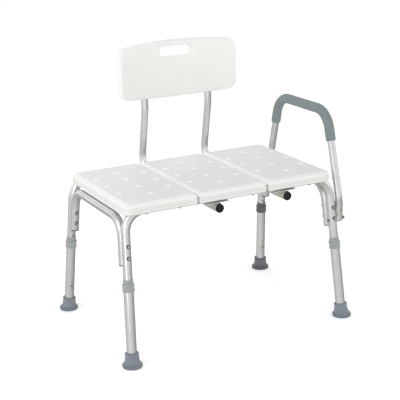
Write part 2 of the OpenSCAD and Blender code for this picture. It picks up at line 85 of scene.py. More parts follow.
# ---------------------------------------------------------------- materials
class Mat:
    """A small builder for node materials; every pattern comes from object coordinates in metres."""

    def __init__(self, name, color, rough, metallic=0.0, **sockets):
        self.m = bpy.data.materials.new(name)
        self.m.use_nodes = True
        self.t = self.m.node_tree
        self.b = self.t.nodes["Principled BSDF"]
        self.out = self.t.nodes["Material Output"]
        self.b.inputs["Base Color"].default_value = (*color, 1)
        self.b.inputs["Roughness"].default_value = rough
        self.b.inputs["Metallic"].default_value = metallic
        for k, v in sockets.items():
            self.b.inputs[k.replace("_", " ")].default_value = v
        self.co = self.node("ShaderNodeTexCoord").outputs["Object"]
        self.height = None

    def node(self, kind, **inputs):
        n = self.t.nodes.new(kind)
        for k, v in inputs.items():
            self.put(n.inputs[k.replace("_", " ")], v)
        return n

    def put(self, socket, v):
        if isinstance(v, bpy.types.NodeSocket):
            self.t.links.new(v, socket)
        else:
            socket.default_value = v

    def stretched(self, x, y, z):
        n = self.node("ShaderNodeMapping", Vector=self.co)
        n.inputs["Scale"].default_value = (x, y, z)
        return n.outputs["Vector"]

    def noise(self, scale, detail=3, rough=0.5, vector=None):
        return self.node("ShaderNodeTexNoise", Vector=vector or self.co, Scale=scale,
                         Detail=detail, Roughness=rough).outputs["Fac"]

    def cells(self, scale):
        n = self.t.nodes.new("ShaderNodeTexVoronoi")
        self.put(n.inputs["Vector"], self.co)
        n.inputs["Scale"].default_value = scale
        return n.outputs["Distance"]

    def span(self, v, a, b, lo, hi):
        n = self.node("ShaderNodeMapRange", Value=v)
        for k, x in (("From Min", a), ("From Max", b), ("To Min", lo), ("To Max", hi)):
            n.inputs[k].default_value = x
        return n.outputs["Result"]

    def math(self, op, a, b):
        n = self.t.nodes.new("ShaderNodeMath")
        n.operation = op
        self.put(n.inputs[0], a)
        self.put(n.inputs[1], b)
        return n.outputs[0]

    def blend(self, fac, a, b):
        n = self.t.nodes.new("ShaderNodeMix")
        n.data_type = "RGBA"
        self.put(n.inputs[0], fac)
        self.put(n.inputs[6], (*a, 1) if isinstance(a, tuple) else a)
        self.put(n.inputs[7], (*b, 1) if isinstance(b, tuple) else b)
        return n.outputs[2]

    def color(self, v):
        self.put(self.b.inputs["Base Color"], v)

    def rough(self, v):
        self.put(self.b.inputs["Roughness"], v)

    def bump(self, *layers):
        """Each layer is (height, distance in metres, strength); they are added one on the other."""
        last = None
        for h, dist, strength in layers:
            n = self.node("ShaderNodeBump", Height=h, Distance=dist, Strength=strength)
            if last:
                self.put(n.inputs["Normal"], last)
            last = n.outputs["Normal"]
        self.put(self.b.inputs["Normal"], last)


def moulded_plastic(name, base, shade, rough, grain, **more):
    """Blow-moulded polyethylene: a fine grain, slow waviness where the wall cooled, faint scuffs."""
    m = Mat(name, base, rough, Specular_IOR_Level=0.42, Subsurface_Weight=0.06,
            Subsurface_Radius=(0.004, 0.004, 0.0035), Subsurface_Scale=1.0, **more)
    slow = m.noise(7, 3, 0.55)
    fine = m.noise(900, 2, 0.6)
    scuff = m.noise(160, 4, 0.7, m.stretched(1, 0.35, 1))
    m.color(m.blend(m.span(slow, 0.3, 0.72, 0, 1), base, shade))
    m.rough(m.math("ADD", m.span(scuff, 0.35, 0.7, rough - 0.05, rough + 0.09),
                   m.span(fine, 0.3, 0.7, -0.03, 0.03)))
    m.bump((slow, 0.0016, 0.35), (m.noise(38, 2, 0.5), 0.0003, 0.3), (fine, 0.00010, grain))
    return m.m


def anodised(name, base, rough, axis):
    """Satin anodised tube: drawn lines along the tube, a fine etched grain and slight handling marks."""
    m = Mat(name, base, rough, 1.0, Anisotropic=0.25, Specular_IOR_Level=0.5)
    long = {"y": (1, 0.02, 1), "z": (1, 1, 0.02)}[axis]
    lines = m.noise(1500, 3, 0.6, m.stretched(*long))
    etched = m.noise(2600, 2, 0.5)
    marks = m.noise(22, 4, 0.6)
    m.color(m.blend(m.span(marks, 0.35, 0.75, 0, 1), base, tuple(c * 0.90 for c in base)))
    m.rough(m.math("ADD", m.span(lines, 0.3, 0.7, rough - 0.04, rough + 0.05),
                   m.span(marks, 0.35, 0.7, -0.02, 0.06)))
    m.bump((lines, 0.00003, 0.05), (etched, 0.00002, 0.05))
    return m.m


def rubber(name, base, dark, rough):
    m = Mat(name, base, rough, Specular_IOR_Level=0.35, Sheen_Weight=0.12, Sheen_Roughness=0.5)
    dust = m.noise(60, 4, 0.6)
    grain = m.noise(1400, 2, 0.6)
    m.color(m.blend(m.span(dust, 0.3, 0.75, 0, 1), base, dark))
    m.rough(m.math("ADD", m.span(dust, 0.3, 0.7, rough - 0.06, rough + 0.08),
                   m.span(grain, 0.3, 0.7, -0.03, 0.03)))
    m.bump((m.noise(260, 3, 0.6), 0.00018, 0.35), (grain, 0.00010, 0.5))
    return m.m


def foam(name, base, dark):
    """Closed-cell foam: tiny open cells at the skin and soft mottling."""
    m = Mat(name, base, 0.72, Specular_IOR_Level=0.28, Sheen_Weight=0.04, Sheen_Roughness=0.4)
    soft = m.noise(45, 3, 0.6)
    cell = m.cells(900)
    pores = m.cells(420)
    m.color(m.blend(m.math("MULTIPLY", m.span(pores, 0.10, 0.42, 1, 0.15), m.span(soft, 0.3, 0.7, 0.45, 1)),
                    base, dark))
    m.rough(m.span(soft, 0.3, 0.7, 0.62, 0.8))
    m.bump((soft, 0.0012, 0.25), (cell, 0.00022, 0.5), (pores, 0.0003, 0.35))
    return m.m


def plated(name, base, rough, scale=300):
    m = Mat(name, base, rough, 1.0)
    a = m.noise(scale, 4, 0.65)
    m.color(m.blend(m.span(a, 0.35, 0.7, 0, 1), base, tuple(c * 0.72 for c in base)))
    m.rough(m.span(a, 0.3, 0.7, rough - 0.07, rough + 0.12))
    m.bump((m.noise(scale * 6, 2, 0.6), 0.00005, 0.4),)
    return m.m


def rim_shaded_steel(name, light, dark, rough):
    """Bolt heads at the legs, bright in a rim of painted shade, laid out by distance from the bolt's own
    line.
    """
    m = Mat(name, light, rough, 1.0)
    absolute = m.t.nodes.new("ShaderNodeVectorMath")
    absolute.operation = "ABSOLUTE"
    shifted = m.node("ShaderNodeMapping", Vector=m.co)
    shifted.inputs["Location"].default_value = (0, OY * MM, 0)
    m.put(absolute.inputs[0], shifted.outputs["Vector"])
    local = m.t.nodes.new("ShaderNodeVectorMath")
    local.operation = "SUBTRACT"
    m.put(local.inputs[0], absolute.outputs["Vector"])
    local.inputs[1].default_value = (FOOT[0] * MM, FOOT[1] * MM, 0)
    up = Vector((-math.tan(SPLAY_X), -math.tan(SPLAY_Y), 1)).normalized()
    across = up.cross(Vector((0, -math.cos(SPLAY_Y), -math.sin(SPLAY_Y)))).normalized()

    def along(v):
        n = m.t.nodes.new("ShaderNodeVectorMath")
        n.operation = "DOT_PRODUCT"
        m.put(n.inputs[0], local.outputs["Vector"])
        n.inputs[1].default_value = v
        return n.outputs["Value"]

    sideways, height = m.math("POWER", m.math("ABSOLUTE", along(across), 0.0), 2.0), along(up)
    low, high = (m.math("ABSOLUTE", m.math("SUBTRACT", height, at * MM), 0.0) for at in BOLT_S)
    upward = m.math("POWER", m.math("MINIMUM", low, high), 2.0)
    r = m.math("SQRT", m.math("ADD", sideways, upward), 0.0)
    worn = m.noise(400, 3, 0.6)
    middle = m.blend(worn, light, tuple(c * 0.85 for c in light))
    # painted shade: the dark rim round each bolt head
    m.color(m.blend(m.span(r, BOLT_SHADE_RING[0] * MM, BOLT_SHADE_RING[1] * MM, 0, 1), middle, dark))
    m.rough(m.span(worn, 0.3, 0.7, rough - 0.05, rough + 0.1))
    m.bump((m.noise(1800, 2, 0.6), 0.00005, 0.3),)
    return m.m


def black_plastic(name, base, rough):
    m = Mat(name, base, rough, Specular_IOR_Level=0.3)
    a = m.noise(180, 4, 0.6)
    m.color(m.blend(m.span(a, 0.4, 0.75, 0, 1), base, tuple(c * 1.5 + 0.004 for c in base)))
    m.rough(m.span(a, 0.3, 0.7, rough - 0.06, rough + 0.1))
    m.bump((m.noise(1500, 2, 0.6), 0.00008, 0.4),)
    return m.m


# painted highlight: the rings round the drain holes are a lighter copy of the seat plastic that also glows
# faintly
M_DRAIN_GLOW = moulded_plastic("moulded_drain_painted_glow", (0.93, 0.93, 0.92), (0.90, 0.90, 0.89), 0.42, 0.1,
                          Emission_Color=(1, 1, 0.99, 1), Emission_Strength=0.1)
# painted highlight: the rim round the field is a lighter copy of the seat plastic
M_RIM_LIT = moulded_plastic("moulded_rim_painted_highlight", (0.94, 0.94, 0.92), (0.91, 0.91, 0.89), 0.40, 0.15)
# painted shade: a dark copy of the seat plastic for the faces turned down
M_UNDER_SHADE = moulded_plastic("moulded_under_painted_shade", (0.50, 0.49, 0.46), (0.46, 0.45, 0.42), 0.45, 0.2)
# painted shade: a warm, darker copy of the seat plastic for the walls facing the next panel
M_GAP_SHADE = moulded_plastic("moulded_between_painted_shade", (0.66, 0.63, 0.56), (0.62, 0.59, 0.52), 0.42, 0.15)
# painted shade: the panels' walls are a darker copy of the seat plastic
M_WALL_SHADE = moulded_plastic("moulded_side_painted_shade", (0.80, 0.80, 0.775), (0.77, 0.77, 0.745), 0.40, 0.15)
# painted shadow: a dark copy of the seat plastic for a line along the panels' lower edge
M_EDGE_SHADE = moulded_plastic("moulded_edge_painted_shade", (0.62, 0.62, 0.59), (0.58, 0.58, 0.55), 0.44, 0.15)
M_FIELD = moulded_plastic("moulded_field", (0.84, 0.84, 0.83), (0.81, 0.81, 0.80), 0.46, 0.45)
M_BACK = moulded_plastic("moulded_back", (0.91, 0.91, 0.885), (0.88, 0.88, 0.855), 0.42, 0.25)
M_ALU = anodised("anodised_z", (0.80, 0.80, 0.79), 0.27, "z")
M_ARM = anodised("anodised_arm", (0.73, 0.73, 0.735), 0.27, "z")
# painted shade: the receivers under the seat are a warm-tinted copy of the anodised tube
M_RECEIVER_SHADE_TINT = anodised("anodised_warm_painted_shade", (0.78, 0.75, 0.69), 0.30, "y")
M_COLLAR = rubber("collar_plastic", (0.36, 0.38, 0.385), (0.30, 0.32, 0.325), 0.42)
# painted shade: a darker copy for the rear-right collar
M_COLLAR_SHADED = rubber("collar_plastic_painted_shade", (0.135, 0.135, 0.133), (0.10, 0.10, 0.10), 0.42)
M_FOOT = rubber("foot_rubber", (0.194, 0.219, 0.256), (0.15, 0.17, 0.20), 0.58)
# painted light: the boot is a paler copy of the foot rubber
M_BOOT_LIT = rubber("foot_boot", (0.245, 0.27, 0.305), (0.195, 0.22, 0.25), 0.52)
# painted shade: darker copies for the rear-right foot, its boot still painted paler than its flange
M_FOOT_SHADED = rubber("foot_rubber_painted_shade", (0.125, 0.132, 0.148), (0.095, 0.10, 0.113), 0.58)
M_BOOT_LIT_SHADED = rubber("foot_boot_painted_light_and_shade", (0.165, 0.172, 0.19), (0.125, 0.132, 0.146), 0.52)
M_FOAM = foam("grip_foam", (0.24, 0.282, 0.288), (0.165, 0.20, 0.205))
M_BLACK = black_plastic("black_plastic", (0.006, 0.006, 0.0065), 0.55)
M_BRACKET = black_plastic("bracket_paint", (0.55, 0.54, 0.52), 0.38)
M_BRASS = plated("brass_pin", (0.62, 0.40, 0.14), 0.28)
M_STEEL = plated("zinc_steel", (0.36, 0.36, 0.36), 0.26)
M_BOLT_RIM_SHADE = rim_shaded_steel("zinc_bolts_painted_rim_shade", (0.70, 0.70, 0.69), (0.06, 0.06, 0.06), 0.25)
M_ZINC = plated("zinc_screws", (0.66, 0.66, 0.65), 0.34)
M_SPRING = plated("spring_steel", (0.45, 0.45, 0.46), 0.32)


# ---------------------------------------------------------------- mesh helpers
def raw_obj(name, vf, mats=()):
    """An object from (verts in mm, faces), with its normals facing out."""
    me = bpy.data.meshes.new(name)
    me.from_pydata([tuple(Vector(v) * MM) for v in vf[0]], [], vf[1])
    for m in mats:
        me.materials.append(m)
    bm = bmesh.new()
    bm.from_mesh(me)
    bmesh.ops.recalc_face_normals(bm, faces=bm.faces)
    bm.to_mesh(me)
    bm.free()
    o = bpy.data.objects.new(name, me)
    scene.collection.objects.link(o)
    return o


def boolean(o, cutters):
    """Cut the cutters out of o for good, and remove them."""
    for c in cutters:
        m = o.modifiers.new("cut", "BOOLEAN")
        m.operation, m.solver, m.object = "DIFFERENCE", "EXACT", c
    bpy.context.view_layer.update()
    dg = bpy.context.evaluated_depsgraph_get()
    me = bpy.data.meshes.new_from_object(o.evaluated_get(dg))
    o.modifiers.clear()
    o.data = me
    for c in cutters:
        bpy.data.objects.remove(c)


def obj_from(name, vf, mats, body, replaces, angle, ids=None):
    o = raw_obj(name, vf, mats)
    if ids:
        o.data.polygons.foreach_set("material_index", ids)
    return finish_obj(o, body, replaces, angle)


def finish_obj(o, body, replaces, angle):
    """Smooth shading with edges over angle degrees kept sharp, and what the piece is in the frame."""
    me = o.data
    me.polygons.foreach_set("use_smooth", [True] * len(me.polygons))
    me.set_sharp_from_angle(angle=math.radians(angle))
    wn = o.modifiers.new("normals", "WEIGHTED_NORMAL")
    wn.keep_sharp = True
    wn.weight = 50
    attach(o, body)
    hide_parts(*replaces)
    return o


def rings_to_mesh(rings, cap=True, closed=False):
    """Faces between rings of equal length; the rings close on themselves, or the end rings can be capped."""
    n = len(rings[0])
    verts = [p for r in rings for p in r]
    faces = []
    for i in range(len(rings) - (0 if closed else 1)):
        a, b = i * n, ((i + 1) % len(rings)) * n
        for j in range(n):
            k = (j + 1) % n
            faces.append((a + j, a + k, b + k, b + j))
    if cap and not closed:
        faces.append(tuple(reversed(range(n))))
        faces.append(tuple((len(rings) - 1) * n + j for j in range(n)))
    return verts, faces


def circle(c, x, y, r, n):
    return [c + x * (r * math.cos(2 * math.pi * j / n)) + y * (r * math.sin(2 * math.pi * j / n))
            for j in range(n)]


def lathe(profile, origin, axis, n, cap=True):
    """Rings of the profile [(height along axis, radius)] about a line. Returns verts, faces."""
    axis = axis.normalized()
    side = axis.orthogonal().normalized()
    other = axis.cross(side)
    rings = [circle(origin + axis * h, side, other, r, n) for h, r in profile]
    return rings_to_mesh(rings, cap)


def joined(parts):
    verts, faces = [], []
    for v, f in parts:
        k = len(verts)
        verts += list(v)
        faces += [tuple(i + k for i in g) for g in f]
    return verts, faces


def leg_frame(sx, sy):
    """Foot point, direction up the leg, direction towards the middle across the bench; mm."""
    p = Vector((sx * FOOT[0], sy * FOOT[1] - OY, 0))
    up = Vector((-sx * math.tan(SPLAY_X), -sy * math.tan(SPLAY_Y), 1)).normalized()
    inward = Vector((0, -sy * math.cos(SPLAY_Y), -math.sin(SPLAY_Y)))
    return p, up, inward


LEGS = {"fl": (-1, -1), "fr": (1, -1), "rl": (-1, 1), "rr": (1, 1)}


def flat_path(points, radii, step):
    """Points along a path of straights and round bends, about step mm apart on the bends."""
    pts = [Vector(points[0])]
    for i in range(1, len(points) - 1):
        a, v, b = (Vector(points[k]) for k in (i - 1, i, i + 1))
        u, w = (v - a).normalized(), (b - v).normalized()
        t = u.angle(w)
        d = radii[i] * math.tan(t / 2)
        c = v + (w - u).normalized() * (radii[i] / math.cos(t / 2))
        s = v - u * d
        n = max(4, int(radii[i] * t / step))
        x = s - c
        y = u * x.length
        pts += [c + x * math.cos(t * k / n) + y * math.sin(t * k / n) for k in range(n + 1)]
    return pts + [Vector(points[-1])]


def spaced(pts, step):
    """The same path with extra points on its long straights."""
    out = [pts[0]]
    for p in pts[1:]:
        n = max(1, int((p - out[-1]).length / step))
        a = out[-1]
        out += [a.lerp(p, k / n) for k in range(1, n + 1)]
    return out


def sweep(pts, side, radius, n):
    """Rings along a flat path; side is the path plane's normal; radius is a function of arc length."""
    rings, s = [], 0.0
    for i, p in enumerate(pts):
        if i:
            s += (p - pts[i - 1]).length
        t = (pts[min(i + 1, len(pts) - 1)] - pts[max(i - 1, 0)]).normalized()
        rings.append(circle(p, side, t.cross(side), radius(s), n))
    return rings


# ---------------------------------------------------------------- seat panels
SEAT_LEN, SEAT_D, SEAT_TOP, SEAT_Z0 = 670.6, 411.5, 452.1, 421.1
PANEL_W = (SEAT_LEN - 6) / 3
PITCH = PANEL_W + 3
RAIL_Z = 430.0
RAIL_Y = FOOT[1] - RAIL_Z * math.tan(SPLAY_Y)


def rounded(cx, cy, w, d, radii, z, nc=10, ns=10):
    """A rectangle's points with a corner radius for its -X side and one for its +X side."""
    pts = []
    corners = [(1, -1, -90), (1, 1, 0), (-1, 1, 90), (-1, -1, 180)]
    for k, (sx, sy, a0) in enumerate(corners):
        r = radii[sx > 0]
        ox, oy = cx + sx * (w / 2 - r), cy + sy * (d / 2 - r)
        for j in range(nc + 1):
            a = math.radians(a0 + 90 * j / nc)
            pts.append(Vector((ox + r * math.cos(a), oy + r * math.sin(a), z)))
        nx, ny, na = corners[(k + 1) % 4]
        a, r = math.radians(na), radii[nx > 0]
        q = Vector((cx + nx * (w / 2 - r) + r * math.cos(a), cy + ny * (d / 2 - r) + r * math.sin(a), z))
        p = pts[-1]
        pts += [p.lerp(q, j / ns) for j in range(1, ns)]
    return pts


OUTER_R, INNER_R = 24, 6.5      # a panel's corner radius at the bench's ends and between two panels
GROOVE_R = 13.5                 # half the width of the channel for a rail
GROOVE_STOP = 22.8              # from the bench's end to where the channel starts to close
NOTCH_HALF, NOTCH_IN, NOTCH_H = 158, 6.5, 3.6     # the shallow notch under each end of the bench
FIELD_INSET = 13.0              # from the panel's outline to its grained field
# within this radius of a drain hole the faces get the lighter, faintly glowing copy: painted highlight
DRAIN_GLOW_R = 8.75                # radius of the smooth ring around a drain hole
DRAIN_X, DRAIN_Y = 0.345 * PITCH, 84
SIDE_TOP, EDGE_TOP = 443.6, 423.6       # heights up to which a panel's wall and its lower edge are shaded
# inset from the panel's outline, height
SEAT_PROFILE = [(7, 421.1), (4.2, 421.1), (2.6, 421.5), (1.3, 422.4), (0.45, 423.8), (0.05, 425.6),
                (0, 430), (0, 433.6), (-0.14, 434.0), (0, 434.4), (0, 440), (0, 443.6), (0.12, 444.9),
                (0.5, 446.0), (1.15, 446.95), (2.1, 447.7), (3.4, 448.3), (6, 449.3), (8.6, 450.35),
                (10.2, 450.95), (11.3, 451.4), (12.3, 451.75), (13.4, 452.0), (14.6, 452.1), (16.5, 452.1)]
# height, radius; from under the panel, through the hole, to the funnel at the top
DRAIN_PROFILE = [(SEAT_Z0 - 2, 5.6), (SEAT_Z0, 5.6), (SEAT_Z0 + 0.8, 5.0), (447.2, 5.0), (449.2, 5.25),
                 (450.5, 5.75), (451.4, 6.6), (451.9, 7.6), (452.12, 8.8), (454, 9.0)]
# one seat plastic in copies: the rim and the drain rings carry painted highlight; the wall, the walls
# between panels, the undersides and the lower edge carry painted shade
SEAT_MATS = (M_RIM_LIT, M_FIELD, M_DRAIN_GLOW, M_WALL_SHADE, M_GAP_SHADE, M_UNDER_SHADE, M_EDGE_SHADE)
RIM_LIT, FIELD, DRAIN_GLOW, SIDE_SHADE, BETWEEN_SHADE, UNDER_SHADE, EDGE_SHADE = range(len(SEAT_MATS))


def drain_spots():
    """Two outer rows of three holes and a middle row of four, from the panel's middle."""
    spots = [(x * DRAIN_X, y * DRAIN_Y) for x in (-1, 1) for y in (-1, 0, 1)]
    return spots + [(0, y * DRAIN_Y) for y in (-1.5, -0.5, 0.5, 1.5)]


def rail_grooves(i, cx, cy):
    """The two channels under a panel that its rails lie in."""
    x0 = -SEAT_LEN / 2 + GROOVE_STOP if i < 0 else cx - 150
    x1 = SEAT_LEN / 2 - GROOVE_STOP if i > 0 else cx + 150
    # at the bench's ends, where the rail bends down, the channel closes in a round end
    turn = [(GROOVE_R * math.sin(a), math.cos(a)) for a in map(math.radians, (15, 30, 45, 60, 75, 86))]
    stops = [(x0, 1.0), (x1, 1.0)]
    if i < 0:
        stops = [(x0 - dx, k) for dx, k in turn[::-1]] + stops
    if i > 0:
        stops = stops + [(x1 + dx, k) for dx, k in turn]
    # across the channel, a fixed height, and a rise above it; across and rise shrink where it closes
    arch = [(-GROOVE_R, SEAT_Z0 - 3, 0)] + [(-13.4 * math.cos(a), RAIL_Z, 13.3 * math.sin(a))
            for a in [math.pi * k / 16 for k in range(17)]] + [(GROOVE_R, SEAT_Z0 - 3, 0)]
    return joined([rings_to_mesh([[Vector((x, y + p * k, q + h * k)) for p, q, h in arch] for x, k in stops])
                   for y in (-RAIL_Y + cy, RAIL_Y + cy)])


def end_notch(i, cy):
    """The notch under the outer edge of an end panel."""
    notch = []
    for x in (i * (SEAT_LEN / 2 - NOTCH_IN), i * (SEAT_LEN / 2 + 2)):
        notch.append([Vector((x, cy - NOTCH_HALF, SEAT_Z0 - 2)), Vector((x, cy + NOTCH_HALF, SEAT_Z0 - 2)),
                      Vector((x, cy + NOTCH_HALF - 3, SEAT_Z0 + NOTCH_H)),
                      Vector((x, cy - NOTCH_HALF + 3, SEAT_Z0 + NOTCH_H))])
    return rings_to_mesh(notch)


def shade_seat(o, i, cx, cy):
    """Give each face its material by where it is on the panel: painted highlight on the rim and round the
    drain holes, painted shade on the walls, between the panels, underneath and along the lower edge.
    """
    for p in o.data.polygons:
        c = p.center
        dx, dy = c.x - cx * MM, c.y - cy * MM
        inside = abs(dx) < (PANEL_W / 2 - FIELD_INSET) * MM and abs(dy) < (SEAT_D / 2 - FIELD_INSET) * MM
        on_top = c.z > (SEAT_TOP - 0.45) * MM and p.normal.z > 0.6
        p.material_index = FIELD if inside and on_top else RIM_LIT
        # below the wall's top every face gets painted shade, by which way it faces and how low it is
        if c.z < SIDE_TOP * MM:
            # walls facing the next panel get a warm painted shade
            between = p.normal.x * (1 if dx > 0 else -1) > 0.6 and not (i and dx * i > 0)
            # a line of painted shadow along the lower edge, painted shade on the rest of the wall
            lower = EDGE_SHADE if c.z < EDGE_TOP * MM else SIDE_SHADE
            # faces turned down get the darkest painted shade
            p.material_index = UNDER_SHADE if p.normal.z < -0.3 else BETWEEN_SHADE if between else lower
        # painted highlight and faint glow round each drain hole
        if any(math.hypot(dx / MM - x, dy / MM - y) < DRAIN_GLOW_R for x, y in drain_spots()):
            p.material_index = DRAIN_GLOW


def seat_panel(i, name, node):
    """Panel i of -1, 0, 1, from the bench's left end to its armrest end."""
    cx, cy = i * PITCH, -OY
    # the bench's own four corners are round, the ones between the panels are nearly square
    rings = [rounded(cx, cy, PANEL_W - 2 * e, SEAT_D - 2 * e,
                     (OUTER_R - e if i < 0 else INNER_R, OUTER_R - e if i > 0 else INNER_R), z)
             for e, z in SEAT_PROFILE]
    o = raw_obj(name, rings_to_mesh(rings), SEAT_MATS)
    holes = joined([lathe(DRAIN_PROFILE, Vector((cx + x, cy + y, 0)), UP, 28) for x, y in drain_spots()])
    cuts = [raw_obj("cut_holes", holes), raw_obj("cut_grooves", rail_grooves(i, cx, cy))]
    if i:
        cuts.append(raw_obj("cut_notch", end_notch(i, cy)))
    boolean(o, cuts)
    shade_seat(o, i, cx, cy)
    finish_obj(o, "frame", (node,), 42)


for i, side in ((-1, "left"), (0, "middle"), (1, "right")):
    seat_panel(i, "seat_shell_" + side, "seat_panel_" + side)


# ---------------------------------------------------------------- backrest panel
BACK_X, BACK_LEN, BACK_TOP, BACK_H, BACK_R = 62.0, 406.4, 810.0, 180.3, 870.0
BACK_TUBE_Y, BACK_TUBE_TOP = 266, 766
BACK_Y0 = BACK_TUBE_Y + PITCH * PITCH / 8 / BACK_R
TOP_R, LOW_R = 1700.0, 2200.0       # the long curves of the panel's top and bottom edges
BACK_CORNER_R = 28
BACK_SLOT_Z = BACK_TOP - 35.5
SLICE = 8.4                         # width of the slices that let the flat panel bend


def back_outline(e, w, nc=12, nl=36, nv=10):
    """The panel's outline inset by e, flat: x, thickness w, height."""
    cx = BACK_LEN / 2 - BACK_CORNER_R
    top_r, low_r = TOP_R - BACK_CORNER_R, LOW_R - BACK_CORNER_R
    zt = BACK_TOP - TOP_R + math.sqrt(top_r ** 2 - cx ** 2)
    zb = BACK_TOP - BACK_H + LOW_R - math.sqrt(low_r ** 2 - cx ** 2)
    ft, fb = math.asin(cx / top_r), math.asin(cx / low_r)
    r = BACK_CORNER_R - e
    pts = []
    for k in range(nl):
        a = -fb + 2 * fb * k / nl
        pts.append(((LOW_R - e) * math.sin(a), BACK_TOP - BACK_H + LOW_R - (LOW_R - e) * math.cos(a)))

    def corner(ox, oz, a0, a1):
        for k in range(nc):
            a = a0 + (a1 - a0) * k / nc
            pts.append((ox + r * math.cos(a), oz + r * math.sin(a)))

    def straight(x, z0, z1):
        for k in range(nv):
            pts.append((x, z0 + (z1 - z0) * k / nv))

    corner(cx, zb, -math.pi / 2 + fb, 0)
    straight(cx + r, zb, zt)
    corner(cx, zt, 0, math.pi / 2 - ft)
    for k in range(nl):
        a = ft - 2 * ft * k / nl
        pts.append(((TOP_R - e) * math.sin(a), BACK_TOP - TOP_R + (TOP_R - e) * math.cos(a)))
    corner(-cx, zt, math.pi / 2 + ft, math.pi)
    straight(-cx - r, zt, zb)
    corner(-cx, zb, math.pi, 1.5 * math.pi - fb)
    return [Vector((x, w, z)) for x, z in pts]


def stadium(grow, w, z, half=40.5, r=16.5, n=14):
    """The outline of the hand slot, grown by grow: x, thickness w, height."""
    pts = []
    for sx, a0 in ((1, -90), (-1, 90)):
        for k in range(n + 1):
            a = math.radians(a0 + 180 * k / n)
            pts.append(Vector((sx * half + (r + grow) * math.cos(a), w, z + (r + grow) * math.sin(a))))
    return pts


def backrest():
    """The panel is made flat, cut, and then bent round a vertical cylinder of radius BACK_R."""
    # inset from the outline, distance behind the panel's middle surface
    profile = [(9, 15), (5.2, 15), (3.0, 14.7), (1.4, 13.9), (0.45, 12.6), (0.05, 10.8), (0, 9), (0, 1.2),
               (0, 0.8), (0, 0), (0, -5.5), (0.15, -7.2), (0.7, -9.2), (1.8, -11.1), (3.4, -12.7),
               (5.6, -13.9), (8.2, -14.6), (11.2, -14.9), (14.5, -15.0), (18, -15.0)]
    o = raw_obj("backrest_shell", rings_to_mesh([back_outline(e, w) for e, w in profile]), (M_BACK,))
    # growth of the hand slot's outline, distance behind the middle surface
    slot = [(11.5, -17), (10.2, -15.02), (7.6, -14.7), (5.2, -13.9), (3.2, -12.6), (1.7, -10.8),
            (0.6, -8.4), (0.1, -5.8), (0, -3), (0, 8), (0.3, 10.5), (1.2, 12.6), (2.8, 14.1), (5.0, 14.9),
            (6.2, 15.02), (7, 17)]
    bore = [(BACK_TOP - BACK_H - 8, BORE_R), (BACK_TUBE_TOP - 8, BORE_R)]
    bore_y = BACK_TUBE_Y - BACK_Y0 + PITCH * PITCH / 8 / BACK_R
    bores = [lathe(bore, Vector((s * PITCH / 2, bore_y, 0)), UP, 40) for s in (-1, 1)]
    boolean(o, [raw_obj("cut_slot", rings_to_mesh([stadium(g, w, BACK_SLOT_Z) for g, w in slot])),
                raw_obj("cut_bores", joined(bores))])
    bm = bmesh.new()
    bm.from_mesh(o.data)
    for k in range(-24, 25):
        bmesh.ops.bisect_plane(bm, geom=bm.verts[:] + bm.edges[:] + bm.faces[:],
                               plane_co=(k * SLICE * MM, 0, 0), plane_no=(1, 0, 0), dist=1e-7)
    for v in bm.verts:
        x, w = v.co.x / MM, v.co.y / MM
        y = BACK_Y0 - BACK_R - OY + math.sqrt((BACK_R + w) ** 2 - x * x)
        v.co.x, v.co.y = (x + BACK_X) * MM, y * MM
    bmesh.ops.recalc_face_normals(bm, faces=bm.faces)
    bm.to_mesh(o.data)
    bm.free()
    finish_obj(o, "backrest", ("backrest_panel",), 42)


backrest()


# ---------------------------------------------------------------- armrest grip
def grip():
    """The foam sleeve: a hollow sweep over the top of the armrest, a little uneven, with round lips."""
    arm_x = 364
    arm_y, kink, top, slope, start = 201.0, 365.0, 617.0, math.radians(15), 530.0
    y_top = arm_y - (top - kink) * math.tan(slope)
    y_start = arm_y - (start - kink) * math.tan(slope)
    corners = ((-y_start, start), (-y_top, top), (y_top, top), (y_start, start))
    pts = [Vector((arm_x, y - OY, z)) for y, z in corners]
    path = spaced(flat_path(pts, [0, 68, 68, 0], 3.0), 6.0)

    def radius(s):
        return 15.0 + 0.12 * math.sin(s * 0.05) + 0.07 * math.sin(s * 0.21 + 1.3)

    rings = sweep(path, ALONG, radius, 56)
    first, last = [], []
    for d, r in ((0.0, BORE_R), (0.0, 12.2), (0.25, 13.4), (0.9, 14.3), (2.2, 14.85)):
        for group, p, q in ((first, path[0], path[1]), (last, path[-1], path[-2])):
            t = (q - p).normalized()
            way = t if group is first else -t
            group.append(circle(p + t * d, ALONG, way.cross(ALONG), r, 56))
    rings = first + rings[1:-1] + last[::-1]
    bore = sweep(path, ALONG, lambda s: BORE_R, 56)
    rings = rings + bore[1:-1][::-1]
    vf = rings_to_mesh(rings, closed=True)
    o = obj_from("grip_foam", vf, (M_FOAM,), "armrest", ("armrest_grip",), 60)


grip()


# ---------------------------------------------------------------- feet and collars
# height, radius, and how far the ring leans with the leg: 0 is level on the floor, 1 is square to the leg
FOOT_PROFILE = [(1.4, 3, 0), (1.4, 7.5, 0), (0, 8.2, 0), (0, 12.5, 0), (1.4, 13.2, 0), (1.4, 18, 0),
                (0, 18.7, 0), (0, 26.6, 0), (0.4, 27.6, 0), (1.6, 28.3, 0), (3.5, 28.5, 0), (6.2, 28.4, 0),
                (8.3, 27.7, 0), (9.8, 26.3, 0.1), (10.8, 24.6, 0.25), (11.9, 23.0, 0.45), (13.6, 21.9, 0.7),
                (16.5, 21.2, 0.9), (22, 20.5, 1), (29, 19.7, 1), (33.2, 19.3, 1), (34.0, 19.7, 1),
                (35.0, 20.1, 1), (37.6, 20.1, 1), (39.0, 19.7, 1), (39.8, 18.6, 1), (40.0, 16.5, 1),
                (39.7, 14.9, 1), (39.0, 14.35, 1), (34, 14.35, 1)]
FLANGE_TOP = 11.2       # above this height the moulding is the boot


